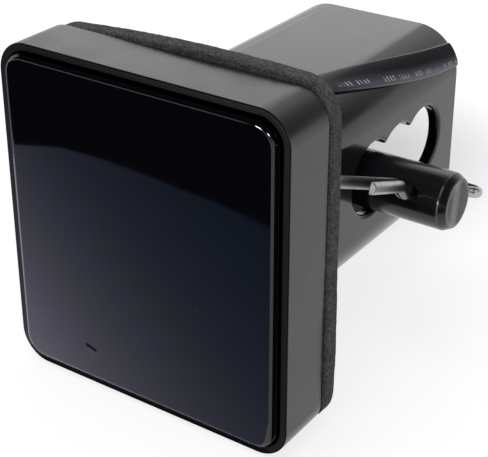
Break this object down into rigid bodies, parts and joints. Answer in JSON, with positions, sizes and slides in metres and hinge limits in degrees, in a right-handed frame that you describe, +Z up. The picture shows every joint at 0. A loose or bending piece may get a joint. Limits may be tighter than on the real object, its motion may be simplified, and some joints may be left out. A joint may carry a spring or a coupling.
{
  "type": "hitch receiver cover",
  "caption": "Square glossy cover for a trailer hitch receiver, with a foam pad, a slotted square steel tube, a headed pin and a split cotter.",
  "frame": {"origin": "on the tube's axis, in the plane of the cap's front rim", "axes": "-Y the way the glossy face looks, +Y along the tube into the receiver, +X the side on which the pin's cotter end stands, +Z up"},
  "size_m": [0.0854, 0.1035, 0.0842],
  "materials": {
    "cap_plastic": "satin black moulded plastic",
    "panel_gloss": "polished black",
    "tape": "grey foam tape",
    "foam": "open grained dark grey foam",
    "tube_paint": "gloss black paint",
    "plate_paint": "satin black paint",
    "pin_black": "gloss black",
    "zinc": "bright zinc plate",
    "sleeve": "glossy black sleeving"
  },
  "bodies": {
    "root": {"cap_shell": "cap_plastic", "face_panel": "panel_gloss", "panel_tape": "tape", "foam_pad": "foam", "mounting_plate": "plate_paint", "receiver_tube": "tube_paint", "plate_screw_1": "zinc", "plate_screw_2": "zinc", "plate_screw_3": "zinc", "plate_screw_4": "zinc", "plate_washer_1": "zinc", "plate_washer_2": "zinc", "plate_washer_3": "zinc", "plate_washer_4": "zinc", "plate_nut_1": "zinc", "plate_nut_2": "zinc", "plate_nut_3": "zinc", "plate_nut_4": "zinc", "hitch_pin": "pin_black", "split_cotter": "zinc", "corner_sleeve": "sleeve"}
  },
  "joints": []
}
